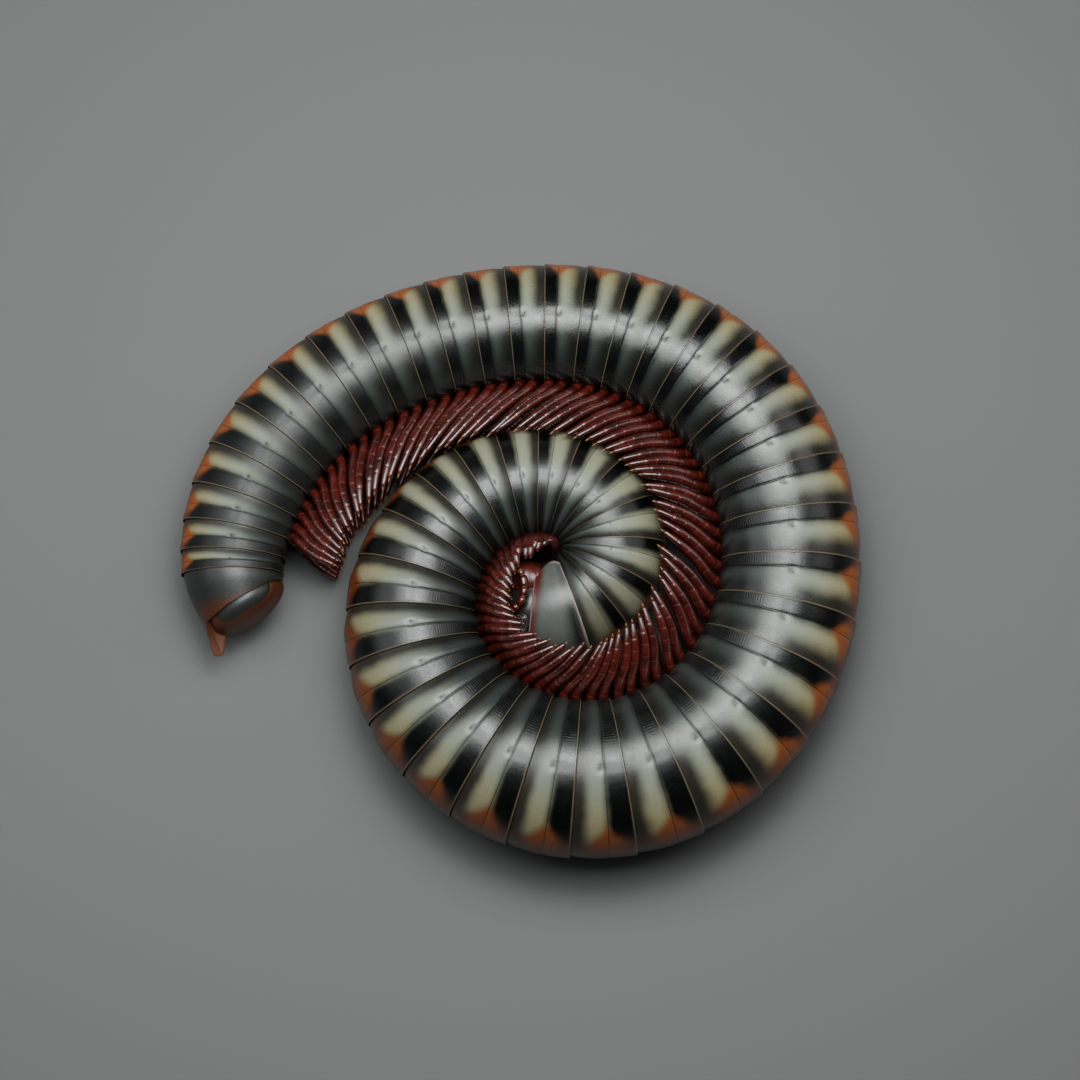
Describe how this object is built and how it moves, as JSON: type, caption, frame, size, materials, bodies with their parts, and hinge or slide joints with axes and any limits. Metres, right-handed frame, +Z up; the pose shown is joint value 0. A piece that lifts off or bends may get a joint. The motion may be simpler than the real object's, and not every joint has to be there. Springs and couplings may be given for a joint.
{
  "type": "giant millipede",
  "caption": "Still life-size giant millipede lying on its side in a flat spiral coil, head tucked in the middle and legs pointing inwards.",
  "frame": {"origin": "middle of the coil's bounding box, on the floor that it lies on", "axes": "+Z up, to the animal's right side; +X along the coil's greatest width; +Y across the coil, away from the camera"},
  "size_m": [0.0426, 0.0378, 0.01],
  "materials": {
    "ring_shell": "satin horny shell, each ring grey-brown in front, cream across the middle and black behind, with a thin golden rear edge and a maroon and orange stripe along the back",
    "leg": "glossy deep maroon red with pale joints and golden claws",
    "collum": "smooth satin purple-grey with a pale rim",
    "head": "smooth satin grey-brown with a reddish upper lip",
    "antenna": "glossy dark red-brown",
    "eye": "glossy black lenses",
    "tail_shell": "satin dark grey with orange-brown rims and horn"
  },
  "bodies": {
    "root": {"head": "head", "eye_right": "eye", "eye_left": "eye", "antenna_right": "antenna", "antenna_left": "antenna", "collum": "collum", "trunk_01": "ring_shell", "trunk_02": "ring_shell", "trunk_03": "ring_shell", "trunk_04": "ring_shell", "trunk_05": "ring_shell", "trunk_06": "ring_shell", "trunk_07": "ring_shell", "trunk_08": "ring_shell", "trunk_09": "ring_shell", "trunk_10": "ring_shell", "trunk_11": "ring_shell", "preanal_ring": "tail_shell", "anal_valve_right": "tail_shell", "anal_valve_left": "tail_shell"}
  },
  "joints": []
}
